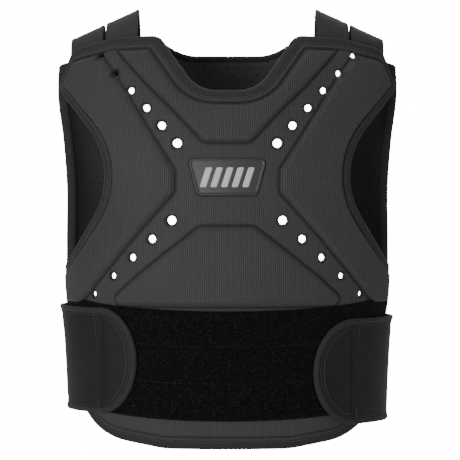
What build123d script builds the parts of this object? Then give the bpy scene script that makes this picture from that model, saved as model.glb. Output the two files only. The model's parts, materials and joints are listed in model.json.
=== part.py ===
"""Padded chest protector: front and back panels, four shoulder straps, two side wings.

Millimetres, +Z up, +X to the right and -Y forward as seen from the front.  The origin lies on
the mid-plane, midway between chest and back, at the height where the straps rest on a shoulder.
Every layer is the space between two offsets of one wearer form, so neighbours share a face.
"""
import os
from functools import cache
from math import radians, sqrt, tan
from build123d import *

os.makedirs("parts", exist_ok=True)

# The wearer form: height, half width, depth in front and depth behind of each section.
LEVELS = (
    (45, 180, 40, 40),
    (-10, 184, 62, 58),
    (-65, 186, 87, 76.5),
    (-120, 179, 102, 86),
    (-175, 175, 107.5, 90),
    (-230, 175.5, 110, 88.5),
    (-285, 175, 109, 86),
    (-340, 168, 105.5, 84.5),
    (-395, 165, 104, 84),
    (-450, 165, 103.5, 84),
    (-505, 165, 103.5, 84),
)

# Layers, as distances out from the wearer form.
LINING = 1.5
CORE = 9.5
COVER = 11.5
POD = 15.5
LOOP = 13.5
EMBLEM = 13.5
EMBLEM_PRINT = 14.3
BINDING = 9.5
HOOK_INNER = 13.9
HOOK = 15.0
WING_INNER = 14.2
WING = 17.5
STRAP = 3.0

# Front panel.
FRONT_EDGE_Y = 22
FRONT_BINDING = 10
BACK_EDGE_Y = 14
BACK_BINDING = 7
FAR = 150
SIDE = 215
NECK_BOTTOM = (34, -64.5)
NECK_TOP = (78, -3)
SHOULDER_TOP = (174, -17)
SHOULDER_SIDE = (191, -62)
ARMHOLE = (118.7, -152.3)
ARMHOLE_ROUND = 83
HEM_CORNER = (140, -447)
HEM_FLAT = (70, -458)
SHOULDER_MIDDLE = (128, -5)
SIDE_TOP = (SIDE, -311)
SIDE_BOTTOM = (SIDE, -345)

# Back panel.
BACK_NECK = (52, -21)
BACK_NECK_TOP = (82, -3)
BACK_SHOULDER = (128, -6)
BACK_ARMHOLE = (SIDE, -42)
BACK_HEM_CORNER = (140, -443)
BACK_HEM_FLAT = (60, -453)

# Pods, the raised fields round the X-shaped valley: corners of the right half of each.
UPPER_POD = ((0, -122), (26, -122), (59, -87), (88, -59), (150, 10), (0, 10))
LOWER_POD = ((0, -213), (30, -213), (69, -243), (99, -267.5), (136, -302), (0, -302))
SIDE_POD = (
    (SIDE, 10), (150, -10), (122, -50), (80, -116), (57, -152), (57, -176), (100, -224),
    (144, -277), (163, -302), (SIDE, -302),
)
POD_SHARP_X = 70
POD_ROUND = 6
POD_EDGE = 15
LOOP_TOP = -306
LOOP_STRIP = 40.3
STRIPS = ("upper", "middle", "lower")

# Vents along the valley: place of the first and last of each arm, and their radii.
UPPER_VENTS = ((52, -123), (133, -26), 6)
LOWER_VENTS = ((57.5, -207), (139, -289), 5)
VENT_WIDE = 4.9
VENT_NARROW = 3.0
VENT_REACH = 8

# Emblem patch.
EMBLEM_Z = -160
EMBLEM_WIDTH = 86
EMBLEM_HEIGHT = 41
EMBLEM_TAPER = 12
EMBLEM_ROUND = 5
EMBLEM_BORDER = 2.5
STRIPES = 5
STRIPE_PITCH = 11.5
STRIPE_WIDTH = 7.5
STRIPE_HEIGHT = 22
STRIPE_LEAN = 18

# Shoulder straps: inner and outer edge of each band, on a slope.
BANDS = {"inner": (100, 136), "outer": (139, 176)}
CROWN_Z = 30
SLOPE = 24.5
CROWN_GAP = 0.6
STRAP_FRONT_END = -70
STRAP_REAR_END = -92
STRAP_FRONT_TURN = -26
STRAP_REAR_TURN = -24
PATCH_TOP = -36
PATCH_BOTTOM = -98
PATCH = 13.0
PAD = 14.2
PAD_MARGIN = 3

# Side wings.
WING_HEIGHT = 117
WING_BINDING = 6
WING_CENTRE = {"left": -362.5, "right": -375}
TAB_REACH = {"left": 41, "right": 46}
SEAM_X = 142
SEAM_GAP = 0.4
HINGE_Y = 34
ROOT_Y = 62
HOOK_MARGIN = 9
HOOK_SETBACK = 7
TAB_INNER = 14.8
SIDES = {"left": -1, "right": 1}


def form_at(height, column):
    """One measure of the wearer form at a height, between the two nearest sections."""
    for upper, lower in zip(LEVELS, LEVELS[1:]):
        if lower[0] <= height <= upper[0]:
            share = (height - lower[0]) / (upper[0] - lower[0])
            return lower[column] + share * (upper[column] - lower[column])
    return LEVELS[-1][column]


def depth_at(x, height, out, column):
    """How far the offset form stands from the mid-plane at one width and height."""
    half_width = form_at(height, 1) + out
    return (form_at(height, column) + out) * sqrt(1 - (x / half_width) ** 2)


@cache
def layer(inner, outer, column):
    """The shell between two offsets of the wearer form; column 2 is its front, 3 its back."""
    with BuildPart() as shell:
        for level in LEVELS:
            with BuildSketch(Plane.XY.offset(level[0])):
                Ellipse(level[1] + outer, level[column] + outer)
        loft()
        for level in LEVELS:
            with BuildSketch(Plane.XY.offset(level[0])):
                Ellipse(level[1] + inner, level[column] + inner)
        loft(mode=Mode.SUBTRACT)
    return shell.part


def section(level, out):
    """One section of the whole form, front and back, drawn as two half ellipses."""
    with BuildSketch(Plane.XY.offset(level[0])) as outline:
        with BuildLine():
            EllipticalCenterArc((0, 0), level[1] + out, level[3] + out, 0, arc_size=180)
            EllipticalCenterArc((0, 0), level[1] + out, level[2] + out, 180, arc_size=180)
        make_face()
    return outline.sketch


@cache
def wrap(inner, outer):
    """The shell between two offsets of the whole form, for what runs from back to front."""
    with BuildPart() as shell:
        for level in LEVELS:
            add(section(level, outer))
        loft()
        for level in LEVELS:
            add(section(level, inner))
        loft(mode=Mode.SUBTRACT)
    return shell.part


def slab(outline, near, far):
    """An outline drawn in the front view, made solid between two distances forward."""
    with BuildPart() as solid:
        with BuildSketch(Plane.XZ.offset(near)):
            add(outline)
        extrude(amount=far - near)
    return solid.part


def half_outline(points, rounds):
    """The right half of a panel as straight runs with rounded corners, and its mirror image."""
    with BuildSketch() as outline:
        with BuildLine():
            Polyline(*points, close=True)
        make_face()
        for point, radius in rounds:
            corner = outline.vertices().sort_by_distance((point[0], point[1], 0))[0]
            fillet(corner, radius)
        mirror(about=Plane.YZ)
    return outline.sketch


def front_outline():
    """The front panel in the front view; its sides run past the form's widest line."""
    rounds = (
        (NECK_BOTTOM, 40), (NECK_TOP, 16), (SHOULDER_MIDDLE, 40), (SHOULDER_TOP, 14), (SHOULDER_SIDE, 9),
        (ARMHOLE, ARMHOLE_ROUND), (HEM_CORNER, 60), (HEM_FLAT, 90),
    )
    points = (
        (0, NECK_BOTTOM[1]), NECK_BOTTOM, NECK_TOP, SHOULDER_MIDDLE, SHOULDER_TOP, SHOULDER_SIDE,
        ARMHOLE, SIDE_TOP, SIDE_BOTTOM, HEM_CORNER, HEM_FLAT, (0, HEM_FLAT[1]),
    )
    return half_outline(points, rounds)


def back_outline():
    """The back panel in the front view, with a shallow neckline and straight sides."""
    rounds = ((BACK_NECK, 60), (BACK_NECK_TOP, 20), (BACK_SHOULDER, 40), (BACK_HEM_CORNER, 60))
    points = (
        (0, BACK_NECK[1]), BACK_NECK, BACK_NECK_TOP, BACK_SHOULDER, BACK_ARMHOLE, SIDE_BOTTOM,
        BACK_HEM_CORNER, BACK_HEM_FLAT, (0, BACK_HEM_FLAT[1]),
    )
    return half_outline(points, rounds)


def inset(outline, distance):
    """The same outline, drawn in by a distance all round."""
    with BuildSketch() as smaller:
        add(outline)
        offset(amount=-distance, kind=Kind.INTERSECTION)
    return smaller.sketch


def pod_outlines():
    """The four raised fields in the front view."""
    with BuildSketch() as pods:
        for corners in (UPPER_POD, LOWER_POD, SIDE_POD):
            with BuildLine():
                Polyline(*corners, close=True)
            make_face()
            mirror(about=Plane.YZ)
        fillet(pods.vertices().filter_by_position(Axis.X, -POD_SHARP_X, POD_SHARP_X), POD_ROUND)
    return pods.sketch


def vents():
    """The vent holes of the front panel, each square to the form where it lies."""
    with BuildPart() as holes:
        for first, last, count in (UPPER_VENTS, LOWER_VENTS):
            for step in range(count):
                share = step / (count - 1)
                x = first[0] + share * (last[0] - first[0])
                z = first[1] + share * (last[1] - first[1])
                radius = VENT_WIDE + share * (VENT_NARROW - VENT_WIDE)
                y = -depth_at(x, z, 0, 2)
                slope = x * form_at(z, 2) ** 2 / (-y * form_at(z, 1) ** 2)
                for sign in SIDES.values():
                    with BuildSketch(Plane(origin=(sign * x, y, z), z_dir=(sign * slope, -1, 0))):
                        Circle(radius)
                    extrude(amount=POD + VENT_REACH)
                    with BuildSketch(Plane(origin=(sign * x, y, z), z_dir=(-sign * slope, 1, 0))):
                        Circle(radius)
                    extrude(amount=VENT_REACH)
    return holes.part


def bar(x_low, x_high, z_low, z_high):
    """A plain rectangle in the front view."""
    with BuildSketch() as outline:
        with BuildLine():
            Polyline((x_low, z_low), (x_high, z_low), (x_high, z_high), (x_low, z_high), close=True)
        make_face()
    return outline.sketch


def emblem_outline():
    """The patch in the middle of the X: a trapezoid with rounded corners."""
    half = EMBLEM_WIDTH / 2
    top = EMBLEM_Z + EMBLEM_HEIGHT / 2
    bottom = EMBLEM_Z - EMBLEM_HEIGHT / 2
    with BuildSketch() as outline:
        with BuildLine():
            Polyline((-half, top), (half, top), (half - EMBLEM_TAPER, bottom),
                     (EMBLEM_TAPER - half, bottom), close=True)
        make_face()
        fillet(outline.vertices(), EMBLEM_ROUND)
    return outline.sketch


def crown_height(x):
    """Top of the strap at the crown of the shoulder."""
    return CROWN_Z - tan(radians(SLOPE)) * (x - BANDS["inner"][0])


def strap_arch(edges, side, facing, out, turn, column):
    """Half a strap, from the crown down to where it turns along the panel."""
    inner_edge, outer_edge = edges
    with BuildPart() as arch:
        for x in (inner_edge, (inner_edge + outer_edge) / 2, outer_edge):
            reach = depth_at(x, turn, out, column) - CROWN_GAP / 2
            rise = crown_height(x) - turn
            start = 90 if facing < 0 else 0
            centre = (facing * CROWN_GAP / 2, turn)
            with BuildSketch(Plane.YZ.offset(side * x)):
                with BuildLine():
                    outside = EllipticalCenterArc(centre, reach, rise, start, arc_size=90)
                    inside = EllipticalCenterArc(centre, reach - STRAP, rise - STRAP, start, arc_size=90)
                    Line(outside @ 0, inside @ 0)
                    Line(outside @ 1, inside @ 1)
                make_face()
        loft()
    return arch.part


def tab_outline(side, name, margin, setback=0):
    """The half-round end of a wing in the front view, drawn in by a margin and back from its seam."""
    reach = TAB_REACH[name]
    centre_z = WING_CENTRE[name]
    half = WING_HEIGHT / 2
    with BuildSketch() as outline:
        with Locations((side * SEAM_X, centre_z)):
            Ellipse(reach - margin, half - margin)
        seam = SEAM_X - setback
        add(bar(-seam, seam, centre_z - half, centre_z + half), mode=Mode.INTERSECT)
    return outline.sketch


front_sketch = front_outline()
back_sketch = back_outline()
front_whole = slab(front_sketch, FRONT_EDGE_Y, FAR)
front_field = slab(inset(front_sketch, FRONT_BINDING), FRONT_EDGE_Y + FRONT_BINDING, FAR)
back_whole = slab(back_sketch, -BACK_EDGE_Y, -FAR)
back_field = slab(inset(back_sketch, BACK_BINDING), -BACK_EDGE_Y - BACK_BINDING, -FAR)
vent_holes = vents()

# ---- front panel ----------------------------------------------------------------------------
with BuildPart() as front_inner_lining:
    add(layer(0, LINING, 2))
    add(front_field, mode=Mode.INTERSECT)
    add(vent_holes, mode=Mode.SUBTRACT)
front_inner_lining.part.label = "front_inner_lining"
export_step(front_inner_lining.part, "parts/front_inner_lining.step")

with BuildPart() as front_foam_core:
    add(layer(LINING, CORE, 2))
    add(front_field, mode=Mode.INTERSECT)
    add(vent_holes, mode=Mode.SUBTRACT)
front_foam_core.part.label = "front_foam_core"
export_step(front_foam_core.part, "parts/front_foam_core.step")

with BuildPart() as pods:
    add(layer(COVER, POD, 2))
    add(slab(pod_outlines(), FRONT_EDGE_Y + POD_EDGE, FAR), mode=Mode.INTERSECT)
    add(slab(inset(front_sketch, POD_EDGE), 0, FAR), mode=Mode.INTERSECT)

with BuildPart() as front_outer_cover:
    add(layer(CORE, COVER, 2))
    add(front_field, mode=Mode.INTERSECT)
    add(pods.part)
    add(vent_holes, mode=Mode.SUBTRACT)
front_outer_cover.part.label = "front_outer_cover"
export_step(front_outer_cover.part, "parts/front_outer_cover.step")

with BuildPart() as front_edge_binding:
    add(layer(0, BINDING, 2))
    add(front_whole, mode=Mode.INTERSECT)
    add(front_field, mode=Mode.SUBTRACT)
front_edge_binding.part.label = "front_edge_binding"
export_step(front_edge_binding.part, "parts/front_edge_binding.step")

for index, name in enumerate(STRIPS):
    strip_top = LOOP_TOP - index * LOOP_STRIP
    with BuildPart() as loop_strip:
        add(layer(COVER, LOOP, 2))
        add(front_field, mode=Mode.INTERSECT)
        add(slab(bar(-SIDE, SIDE, strip_top - LOOP_STRIP, strip_top), 0, FAR), mode=Mode.INTERSECT)
    loop_strip.part.label = f"loop_strip_{name}"
    export_step(loop_strip.part, f"parts/loop_strip_{name}.step")

with BuildPart() as emblem_patch:
    add(layer(COVER, EMBLEM, 2))
    add(slab(emblem_outline(), 0, FAR), mode=Mode.INTERSECT)
emblem_patch.part.label = "emblem_patch"
export_step(emblem_patch.part, "parts/emblem_patch.step")

with BuildSketch() as border:
    add(emblem_outline())
    add(inset(emblem_outline(), EMBLEM_BORDER), mode=Mode.SUBTRACT)

with BuildSketch() as stripes:
    for index in range(STRIPES):
        with Locations(((index - (STRIPES - 1) / 2) * STRIPE_PITCH, EMBLEM_Z)):
            Rectangle(STRIPE_WIDTH, STRIPE_HEIGHT, rotation=-STRIPE_LEAN)

with BuildPart() as emblem_print:
    add(layer(EMBLEM, EMBLEM_PRINT, 2))
    add(slab(border.sketch + stripes.sketch, 0, FAR), mode=Mode.INTERSECT)
emblem_print.part.label = "emblem_print"
export_step(emblem_print.part, "parts/emblem_print.step")

# ---- back panel -----------------------------------------------------------------------------
with BuildPart() as back_inner_lining:
    add(layer(0, LINING, 3))
    add(back_field, mode=Mode.INTERSECT)
back_inner_lining.part.label = "back_inner_lining"
export_step(back_inner_lining.part, "parts/back_inner_lining.step")

with BuildPart() as back_foam_core:
    add(layer(LINING, CORE, 3))
    add(back_field, mode=Mode.INTERSECT)
back_foam_core.part.label = "back_foam_core"
export_step(back_foam_core.part, "parts/back_foam_core.step")

with BuildPart() as back_outer_cover:
    add(layer(CORE, COVER, 3))
    add(back_field, mode=Mode.INTERSECT)
back_outer_cover.part.label = "back_outer_cover"
export_step(back_outer_cover.part, "parts/back_outer_cover.step")

with BuildPart() as back_edge_binding:
    add(layer(0, BINDING, 3))
    add(back_whole, mode=Mode.INTERSECT)
    add(back_field, mode=Mode.SUBTRACT)
back_edge_binding.part.label = "back_edge_binding"
export_step(back_edge_binding.part, "parts/back_edge_binding.step")

# ---- shoulder straps ------------------------------------------------------------------------
patch_low = BANDS["inner"][0] - PAD_MARGIN
patch_high = BANDS["outer"][1] + PAD_MARGIN
for side_name, side in SIDES.items():
    with BuildPart() as strap_loop_patch:
        add(layer(COVER, PATCH, 3))
        patch = bar(*sorted((side * patch_low, side * patch_high)), PATCH_BOTTOM, PATCH_TOP)
        add(slab(patch, -BACK_EDGE_Y, -FAR), mode=Mode.INTERSECT)
    strap_loop_patch.part.label = f"strap_loop_patch_{side_name}"
    export_step(strap_loop_patch.part, f"parts/strap_loop_patch_{side_name}.step")

    for band_name, edges in BANDS.items():
        span = sorted((side * edges[0], side * edges[1]))
        with BuildPart() as strap_front:
            add(layer(-STRAP, 0, 2))
            add(slab(bar(*span, STRAP_FRONT_END, STRAP_FRONT_TURN), 0, FAR), mode=Mode.INTERSECT)
            add(strap_arch(edges, side, -1, 0, STRAP_FRONT_TURN, 2))
            add(layer(0, COVER, 2), mode=Mode.SUBTRACT)
        strap_front.part.label = f"strap_{side_name}_{band_name}_front"
        export_step(strap_front.part, f"parts/strap_{side_name}_{band_name}_front.step")

        with BuildPart() as strap_rear:
            add(layer(PAD, PAD + STRAP, 3))
            add(slab(bar(*span, STRAP_REAR_END, STRAP_REAR_TURN), 0, -FAR), mode=Mode.INTERSECT)
            add(strap_arch(edges, side, 1, PAD + STRAP, STRAP_REAR_TURN, 3))
        strap_rear.part.label = f"strap_{side_name}_{band_name}_rear"
        export_step(strap_rear.part, f"parts/strap_{side_name}_{band_name}_rear.step")

        with BuildPart() as hook_pad:
            add(layer(PATCH, PAD, 3))
            pad = bar(span[0] + PAD_MARGIN, span[1] - PAD_MARGIN, STRAP_REAR_END + PAD_MARGIN,
                      PATCH_TOP - PAD_MARGIN)
            add(slab(pad, 0, -FAR), mode=Mode.INTERSECT)
        hook_pad.part.label = f"strap_{side_name}_{band_name}_hook_pad"
        export_step(hook_pad.part, f"parts/strap_{side_name}_{band_name}_hook_pad.step")

# ---- side wings -----------------------------------------------------------------------------
for side_name, side in SIDES.items():
    top = WING_CENTRE[side_name] + WING_HEIGHT / 2
    bottom = WING_CENTRE[side_name] - WING_HEIGHT / 2
    seam = sorted((-side, side * (SEAM_X + SEAM_GAP)))
    half = sorted((0, side * SIDE))

    with BuildPart() as wing_wall:
        add(wrap(WING_INNER, WING))
        add(slab(bar(*half, bottom, top), SEAM_GAP - HINGE_Y, FAR), mode=Mode.INTERSECT)
        add(slab(bar(*seam, bottom, top), 0, FAR), mode=Mode.SUBTRACT)

    middle = slab(bar(*half, bottom + WING_BINDING, top - WING_BINDING), -FAR, FAR)
    with BuildPart() as wing_band:
        add(wing_wall.part)
        add(middle, mode=Mode.INTERSECT)
    wing_band.part.label = f"wing_{side_name}_band"
    export_step(wing_band.part, f"parts/wing_{side_name}_band.step")

    with BuildPart() as wing_binding:
        add(wing_wall.part)
        add(middle, mode=Mode.SUBTRACT)
    wing_binding.part.label = f"wing_{side_name}_binding"
    export_step(wing_binding.part, f"parts/wing_{side_name}_binding.step")

    with BuildPart() as wing_root:
        add(layer(COVER, WING, 3))
        add(slab(bar(*half, bottom, top), -ROOT_Y, -HINGE_Y), mode=Mode.INTERSECT)
    wing_root.part.label = f"wing_{side_name}_root"
    export_step(wing_root.part, f"parts/wing_{side_name}_root.step")

    with BuildPart() as tab_panel:
        add(layer(HOOK, WING, 2))
        add(slab(tab_outline(side, side_name, WING_BINDING), 0, FAR), mode=Mode.INTERSECT)
    tab_panel.part.label = f"tab_{side_name}_panel"
    export_step(tab_panel.part, f"parts/tab_{side_name}_panel.step")

    with BuildPart() as tab_binding:
        add(layer(TAB_INNER, WING, 2))
        add(slab(tab_outline(side, side_name, 0), 0, FAR), mode=Mode.INTERSECT)
        add(slab(tab_outline(side, side_name, WING_BINDING), 0, FAR), mode=Mode.SUBTRACT)
    tab_binding.part.label = f"tab_{side_name}_binding"
    export_step(tab_binding.part, f"parts/tab_{side_name}_binding.step")

    with BuildPart() as tab_hook:
        add(layer(HOOK_INNER, HOOK, 2))
        add(slab(tab_outline(side, side_name, HOOK_MARGIN, HOOK_SETBACK), 0, FAR), mode=Mode.INTERSECT)
    tab_hook.part.label = f"tab_{side_name}_hook_patch"
    export_step(tab_hook.part, f"parts/tab_{side_name}_hook_patch.step")
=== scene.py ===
"""Padded chest protector: the looks.  Every piece is built on the same wearer form as the CAD.

Lengths are in millimetres until a mesh is made.  A place on a panel is (u, z): u runs round the
form from the panel's middle and z is height; d is the distance out from the form.
"""
import json
from math import cos, pi, radians, sin

import bmesh
import bpy
import numpy as np
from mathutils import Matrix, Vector

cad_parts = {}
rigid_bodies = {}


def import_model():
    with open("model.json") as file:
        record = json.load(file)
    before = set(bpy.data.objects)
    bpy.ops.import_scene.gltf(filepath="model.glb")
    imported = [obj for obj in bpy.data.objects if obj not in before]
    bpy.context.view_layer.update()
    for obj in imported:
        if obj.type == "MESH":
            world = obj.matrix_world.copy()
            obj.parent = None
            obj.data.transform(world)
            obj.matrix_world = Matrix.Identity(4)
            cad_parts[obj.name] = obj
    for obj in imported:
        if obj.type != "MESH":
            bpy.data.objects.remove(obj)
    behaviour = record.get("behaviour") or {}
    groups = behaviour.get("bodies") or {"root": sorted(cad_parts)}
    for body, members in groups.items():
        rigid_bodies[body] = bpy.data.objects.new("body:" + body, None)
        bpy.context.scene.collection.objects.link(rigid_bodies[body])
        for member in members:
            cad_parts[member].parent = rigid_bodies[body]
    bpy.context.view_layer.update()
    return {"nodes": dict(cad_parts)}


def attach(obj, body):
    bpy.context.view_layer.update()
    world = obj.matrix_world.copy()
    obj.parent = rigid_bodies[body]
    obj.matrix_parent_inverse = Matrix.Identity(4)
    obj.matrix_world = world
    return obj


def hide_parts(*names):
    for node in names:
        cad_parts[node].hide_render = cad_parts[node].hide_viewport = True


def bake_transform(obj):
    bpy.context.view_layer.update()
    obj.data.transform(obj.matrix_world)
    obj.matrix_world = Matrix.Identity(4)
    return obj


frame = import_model()

MM = 0.001
GIRTH = 170.0          # millimetres of u per radian round the form
SIDES = {"left": -1, "right": 1}

# The wearer form, from the bottom up: half width, depth in front, depth behind, every 55 mm.
FORM_LOW = -505.0
FORM_STEP = 55.0
FORM = np.array((
    (165, 103.5, 84), (165, 103.5, 84), (165, 104, 84), (168, 105.5, 84.5), (175, 109, 86),
    (175.5, 110, 88.5), (175, 107.5, 90), (179, 102, 86), (186, 87, 76.5), (184, 62, 58), (180, 40, 40),
))

# Layers, as in the CAD.
LINING, VALLEY, LOOP = 1.5, 11.2, 13.5
POD_RISE = 4.2
POD_SHOULDER = 6.5
EDGE_INSET = 9.0
RIM_OUT = 9.4
BINDING_TOP, SEWN_FROM_EDGE = 10.35, 1.9
WING_OUT = 17.3
WING_IN = 14.4
FRONT_SIDE_Y, BACK_SIDE_Y = 22.0, 14.0

# Outlines in the front view, right half, as corners with the radius of each.
SIDE = 215.0
FRONT_CORNERS = (
    ((34, -64.5), 40), ((78, -3), 16), ((128, -5), 40), ((174, -17), 14), ((191, -62), 11),
    ((118.7, -152.3), 83), ((SIDE, -311), 0), ((SIDE, -345), 0), ((140, -447), 60), ((70, -458), 90),
)
BACK_CORNERS = (
    ((52, -21), 60), ((82, -3), 20), ((128, -6), 40), ((SIDE, -42), 0), ((SIDE, -345), 0),
    ((140, -443), 60), ((60, -453), 0),
)
UPPER_POD = ((26, -122), (59, -87), (88, -59), (150, 10))
LOWER_POD = ((136, -302), (99, -267.5), (69, -243), (30, -213))
SIDE_POD = (
    (SIDE, 10), (150, -10), (122, -50), (80, -116), (57, -152), (57, -176), (100, -224),
    (144, -277), (163, -302), (SIDE, -302),
)
POD_FOOT = -303.0
POD_EDGE = 15.0
UPPER_VENTS = ((52, -123), (133, -26), 6)
LOWER_VENTS = ((57.5, -207), (139, -289), 5)
VENT_WIDE, VENT_NARROW = 4.9, 3.0

LOOP_TOP, LOOP_STRIP = -306.0, 40.3
STRIPS = ("upper", "middle", "lower")
LOOP_SAG = 0.00032

EMBLEM_Z, EMBLEM_WIDTH, EMBLEM_HEIGHT, EMBLEM_TAPER = -160.0, 89.0, 42.0, 11.0

STRIPE_PITCH, STRIPE_WIDTH, STRIPE_HEIGHT = 11.5, 7.5, 22.0

BANDS = {"inner": (100.0, 136.0), "outer": (139.0, 176.0)}
CROWN_Z, SLOPE, STRAP = 30.0, 24.5, 3.0
STRAP_FRONT = (-70.0, -26.0)
STRAP_REAR = (-92.0, -24.0)
STRAP_REAR_OUT = 14.2

WING_HEIGHT, WING_EDGE = 117.0, 6.0
WING_CENTRE = {"left": -362.5, "right": -375.0}
TAB_REACH = {"left": 41.0, "right": 46.0}
SEAM_X, SEAM_STRIP, ROOT_Y = 142.0, 4.0, 62.0

# Points at each joint that cloth crosses, in metres, where a bend would start and stop.
SHOULDER_BEND = ((0, 0.045, 0.0), (0, -0.045, 0.0))
WING_BEND = ((0.175, 0.052, 0), (0.175, 0.016, 0))
TAB_BEND = ((0.1445, -0.078, 0), (0.1395, -0.082, 0))


# ---- the form ---------------------------------------------------------------------------------
def form(z):
    """Half width, front depth and rear depth of the form at each height, smooth between sections."""
    place = np.clip((np.asarray(z, float) - FORM_LOW) / FORM_STEP, 0, len(FORM) - 1.001)
    low = place.astype(int)
    t = (place - low)[..., None]
    rows = [FORM[np.clip(low + k, 0, len(FORM) - 1)] for k in (-1, 0, 1, 2)]
    a, b, c, e = rows
    square, cube = 2 * a - 5 * b + 4 * c - e, 3 * b - a - 3 * c + e
    return 0.5 * (2 * b + (c - a) * t + square * t**2 + cube * t**3)


def around(angle, z, d):
    """Points on the offset form: angle 0 is the middle of the chest and pi the middle of the back."""
    size = form(z)
    turn = np.cos(angle)
    depth = np.where(turn >= 0, size[..., 1], size[..., 2]) + d
    return np.stack([(size[..., 0] + d) * np.sin(angle), -depth * turn, np.asarray(z, float) + 0 * d], -1)


def on_front(u, z, d):
    return around(u / GIRTH, z, d)


def on_back(u, z, d):
    return around(pi - u / GIRTH, z, d)


def u_of(x, z, d):
    """Where a width in the front view lies round the form."""
    return GIRTH * np.arcsin(np.clip(np.asarray(x, float) / (form(z)[..., 0] + d), -1, 1))


def depth_at(x, z, d, column):
    """How far the offset form stands from the mid-plane; column 1 is the front, 2 the rear."""
    size = form(z)
    return (size[..., column] + d) * np.sqrt(np.clip(1 - (x / (size[..., 0] + d)) ** 2, 0, 1))


# ---- outlines ---------------------------------------------------------------------------------
def rounded(corners):
    """Corners with radii, as closely spaced points with an arc at each rounded corner."""
    made = []
    count = len(corners)
    for index, (corner, radius) in enumerate(corners):
        p = np.array(corner, float)
        before = np.array(corners[index - 1][0], float) - p
        after = np.array(corners[(index + 1) % count][0], float) - p
        if radius <= 0 or np.linalg.norm(before) < 1e-6 or np.linalg.norm(after) < 1e-6:
            made.append(p)
            continue
        before /= np.linalg.norm(before)
        after /= np.linalg.norm(after)
        half = 0.5 * np.arccos(np.clip(before @ after, -1, 1))
        middle = (before + after) / np.linalg.norm(before + after)
        centre = p + middle * radius / sin(half)
        first = p + before * radius / np.tan(half) - centre
        last = p + after * radius / np.tan(half) - centre
        a0, a1 = np.arctan2(first[1], first[0]), np.arctan2(last[1], last[0])
        sweep = (a1 - a0 + pi) % (2 * pi) - pi
        for step in np.linspace(0, 1, 9):
            a = a0 + step * sweep
            made.append(centre + radius * np.array((cos(a), sin(a))))
    return np.array(made)


def mirrored(corners):
    """The right half's corners and their mirror image, as one closed ring."""
    return list(corners) + [((-x, z), radius) for (x, z), radius in reversed(corners)]


def spaced(ring, step):
    """A closed ring of points, spaced evenly."""
    closed = np.vstack([ring, ring[:1]])
    lengths = np.r_[0, np.cumsum(np.linalg.norm(np.diff(closed, axis=0), axis=1))]
    at = np.linspace(0, lengths[-1], max(8, round(lengths[-1] / step)), endpoint=False)
    return np.stack([np.interp(at, lengths, closed[:, k]) for k in (0, 1)], -1)


def panel_ring(corners, side_y, column):
    """A panel's edge in (u, z): its outline, cut off where the side of the form begins."""
    ring = spaced(rounded(mirrored(corners)), 1.5)
    u = u_of(ring[:, 0], ring[:, 1], RIM_OUT)
    limit = GIRTH * np.arccos(side_y / (form(ring[:, 1])[:, column] + RIM_OUT))
    return spaced(np.stack([np.clip(u, -limit, limit), ring[:, 1]], -1), 2.0)


def flat_ring(corners, d=VALLEY, step=1.2):
    """An outline drawn in the front view, carried onto the form."""
    ring = spaced(rounded(corners), step)
    return np.stack([u_of(ring[:, 0], ring[:, 1], d), ring[:, 1]], -1)


def inside(ring):
    """A function that gives how far a place lies inside a ring; outside is negative."""
    a, b = ring, np.roll(ring, -1, axis=0)
    run = b - a
    length = np.maximum((run**2).sum(1), 1e-9)

    def measure(u, z):
        u, z = np.asarray(u, float), np.asarray(z, float)
        points = np.stack([u.ravel(), z.ravel()], -1)
        out = np.empty(len(points))
        for start in range(0, len(points), 20000):
            p = points[start:start + 20000, None, :]
            t = np.clip(((p - a) * run).sum(2) / length, 0, 1)
            gap = np.sqrt((((a + t[..., None] * run) - p) ** 2).sum(2).min(1))
            crosses = (a[:, 1] > p[..., 1]) != (b[:, 1] > p[..., 1])
            at = a[:, 0] + (p[..., 1] - a[:, 1]) * run[:, 0] / np.where(run[:, 1] == 0, 1e-9, run[:, 1])
            odd = (crosses & (p[..., 0] < at)).sum(1) % 2 == 1
            out[start:start + 20000] = np.where(odd, gap, -gap)
        return out.reshape(u.shape)

    return measure


def smooth(x):
    x = np.clip(x, 0, 1)
    return x * x * (3 - 2 * x)


# ---- meshes -----------------------------------------------------------------------------------
def build(name, verts, faces, uvs=None, shade_in_creases=None):
    """A mesh object from points in millimetres, with (u, z) kept as its texture coordinates.

    The last argument, from 0 to 1, is painted shade: how far each point lies in a crease, for the material to
    darken as if shade fell there.
    """
    mesh = bpy.data.meshes.new(name)
    mesh.from_pydata((np.asarray(verts) * MM).tolist(), [], [list(map(int, f)) for f in faces])
    if uvs is not None:
        layer = mesh.uv_layers.new(name="UVMap")
        loops = np.empty(len(mesh.loops), int)
        mesh.loops.foreach_get("vertex_index", loops)
        layer.data.foreach_set("uv", (np.asarray(uvs)[loops] * MM).ravel())
    work = bmesh.new()
    work.from_mesh(mesh)
    bmesh.ops.recalc_face_normals(work, faces=work.faces)
    work.to_mesh(mesh)
    work.free()
    mesh.shade_smooth()
    if shade_in_creases is not None:
        # Painted shade in the creases, kept on the points for the material to darken the colour.
        creases = mesh.attributes.new("painted_crease_shade", "FLOAT", "POINT")
        creases.data.foreach_set("value", np.asarray(shade_in_creases, float))
    piece = bpy.data.objects.new(name, mesh)
    bpy.context.scene.collection.objects.link(piece)
    return piece


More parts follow.
